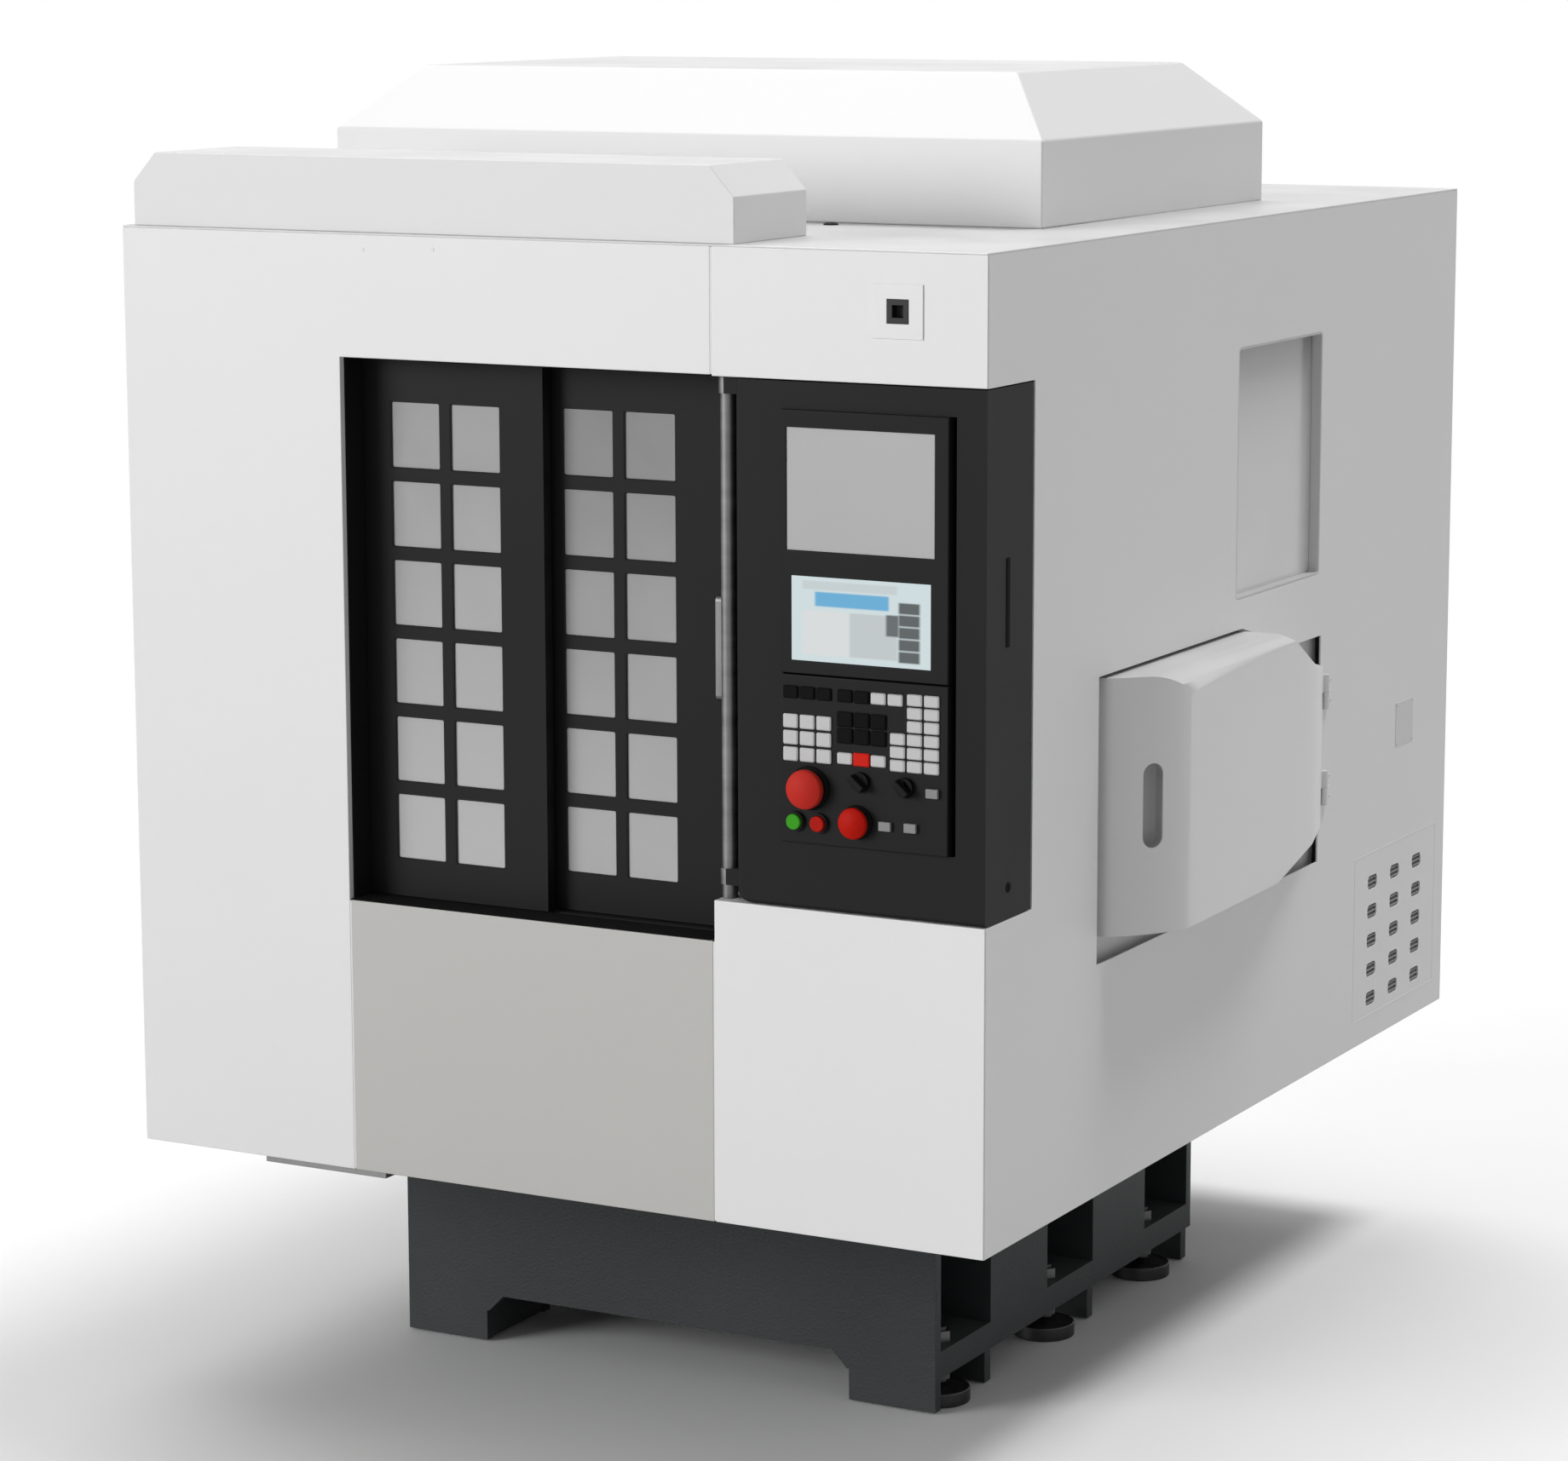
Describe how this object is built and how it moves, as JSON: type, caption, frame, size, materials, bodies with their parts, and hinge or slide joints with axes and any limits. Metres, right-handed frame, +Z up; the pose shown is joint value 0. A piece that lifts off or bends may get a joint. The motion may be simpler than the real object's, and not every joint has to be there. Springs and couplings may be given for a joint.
{
  "type": "cnc machining center",
  "caption": "Enclosed CNC machining center with telescoping front doors, swinging control pendant, hinged side cover, roof hoods and a dark cast base.",
  "frame": {"origin": "on the floor, under the middle of the bounding box", "axes": "+X to the operator's right, +Y to the back of the machine, +Z up"},
  "size_m": [1.62, 2.01, 2.128],
  "materials": {
    "cast_paint": "satin dark blue-grey paint on cast iron",
    "white_sheet": "fine satin powder coat",
    "warm_grey_sheet": "fine satin powder coat",
    "dark_sheet": "matt dark powder coat",
    "steel": "ground or brushed",
    "bright_post": "brushed",
    "zinc": "zinc plated",
    "foot_steel": "dark oxide",
    "pane": "clear sheet that looks grey over the dark chamber",
    "frame_rubber": "matt",
    "bezel": "fine matt",
    "screen_off": "pale grey screen, not lit",
    "screen_on": "pale lit screen",
    "red_cap": "smooth",
    "hold_cap": "smooth",
    "green_cap": "smooth",
    "stop_cap": "smooth",
    "lamp": "frosted",
    "knob_black": "matt",
    "port_black": "matt",
    "drive_grey": "matt",
    "table_iron": "ground top",
    "gland_plastic": "matt",
    "magnet_track": "ground"
  },
  "bodies": {
    "machine": {"base_casting": "cast_paint", "bridge_casting": "cast_paint", "levelling_feet": "foot_steel", "levelling_nuts": "zinc", "floor_pan": "white_sheet", "coolant_tray": "zinc", "front_left_panel": "white_sheet", "front_upper_right_panel": "white_sheet", "front_lower_middle_panel": "warm_grey_sheet", "front_lower_right_panel": "white_sheet", "port_plate": "white_sheet", "port_socket": "port_black", "pendant_recess_panel": "dark_sheet", "left_side_panel": "white_sheet", "right_side_panel": "white_sheet", "side_window_frame": "frame_rubber", "side_window_pane": "pane", "rear_panel": "white_sheet", "cable_gland": "gland_plastic", "hinge_pins": "steel", "roof_panel": "white_sheet", "front_hood": "white_sheet", "top_hood": "white_sheet", "door_top_rail": "dark_sheet", "door_bottom_rail": "dark_sheet", "hinge_post": "bright_post", "cabinet_plate": "white_sheet", "drive_units": "drive_grey", "linear_rails": "steel", "drive_tracks": "magnet_track"},
    "leading_door": {"leading_door_frame": "dark_sheet", "leading_door_pane": "pane", "door_handle": "steel"},
    "trailing_door": {"trailing_door_frame": "dark_sheet", "trailing_door_pane": "pane"},
    "side_cover_lid": {"side_cover": "white_sheet"},
    "rear_door": {"rear_cabinet_door": "white_sheet"},
    "control_pendant": {"pendant_housing": "dark_sheet", "pendant_lock": "knob_black", "screen_module": "bezel", "upper_screen": "screen_off", "lower_screen": "screen_on", "key_module": "bezel", "indicator_lamps": "lamp"},
    "emergency_stop": {"emergency_stop_button": "red_cap"},
    "hold": {"hold_button": "hold_cap"},
    "start": {"start_button": "green_cap"},
    "stop": {"stop_button": "stop_cap"},
    "feed": {"feed_knob": "knob_black"},
    "speed": {"speed_knob": "knob_black"},
    "table": {"work_table": "table_iron"},
    "saddle": {"beam_saddle": "cast_paint", "head_rails": "steel"},
    "left_slide": {"left_head": "cast_paint", "left_spindle_housing": "steel"},
    "right_slide": {"right_head": "cast_paint", "right_spindle_housing": "steel"},
    "left_rotor": {"left_spindle": "steel"},
    "right_rotor": {"right_spindle": "steel"}
  },
  "joints": [
    {"name": "leading_door_slide", "type": "slide", "parent": "machine", "child": "leading_door", "axis": [-1, 0, 0], "range_m": [0, 0.56]},
    {"name": "trailing_door_slide", "type": "slide", "parent": "machine", "child": "trailing_door", "axis": [-1, 0, 0], "range_m": [0, 0.28]},
    {"name": "side_cover_hinge", "type": "hinge", "parent": "machine", "child": "side_cover_lid", "pos_m": [0.728, 0.359, 0.892], "axis": [0, 0, 1], "range_deg": [0, 110]},
    {"name": "rear_door_hinge", "type": "hinge", "parent": "machine", "child": "rear_door", "pos_m": [-0.605, 0.991, 0.64], "axis": [0, 0, 1], "range_deg": [0, 115]},
    {"name": "pendant_swing", "type": "hinge", "parent": "machine", "child": "control_pendant", "pos_m": [0.275, -0.937, 0.896], "axis": [0, 0, -1], "range_deg": [0, 90]},
    {"name": "table_slide", "type": "slide", "parent": "machine", "child": "table", "axis": [0, 1, 0], "range_m": [-0.15, 0.15]},
    {"name": "cross_slide", "type": "slide", "parent": "machine", "child": "saddle", "axis": [1, 0, 0], "range_m": [-0.2, 0.2]},
    {"name": "left_head_slide", "type": "slide", "parent": "saddle", "child": "left_slide", "axis": [0, 0, -1], "range_m": [0, 0.12]},
    {"name": "right_head_slide", "type": "slide", "parent": "saddle", "child": "right_slide", "axis": [0, 0, -1], "range_m": [0, 0.12]},
    {"name": "left_spindle_spin", "type": "hinge", "parent": "left_slide", "child": "left_rotor", "pos_m": [-0.155, -0.247, 0.9637], "axis": [0, 0, 1], "continuous": true},
    {"name": "right_spindle_spin", "type": "hinge", "parent": "right_slide", "child": "right_rotor", "pos_m": [0.065, -0.247, 0.9637], "axis": [0, 0, 1], "continuous": true},
    {"name": "emergency_stop_press", "type": "slide", "parent": "control_pendant", "child": "emergency_stop", "axis": [0, 1, 0], "range_m": [0, 0.004], "stiffness_N_per_m": 500},
    {"name": "hold_press", "type": "slide", "parent": "control_pendant", "child": "hold", "axis": [0, 1, 0], "range_m": [0, 0.004], "stiffness_N_per_m": 500},
    {"name": "start_press", "type": "slide", "parent": "control_pendant", "child": "start", "axis": [0, 1, 0], "range_m": [0, 0.004], "stiffness_N_per_m": 500},
    {"name": "stop_press", "type": "slide", "parent": "control_pendant", "child": "stop", "axis": [0, 1, 0], "range_m": [0, 0.004], "stiffness_N_per_m": 500},
    {"name": "feed_turn", "type": "hinge", "parent": "control_pendant", "child": "feed", "pos_m": [0.518, -0.975, 1.101], "axis": [0, -1, 0], "range_deg": [-150, 150]},
    {"name": "speed_turn", "type": "hinge", "parent": "control_pendant", "child": "speed", "pos_m": [0.592, -0.975, 1.099], "axis": [0, -1, 0], "range_deg": [-150, 150]}
  ],
  "couplings": [
    {"joint": "trailing_door_slide", "follows": "leading_door_slide", "ratio": 0.5}
  ]
}
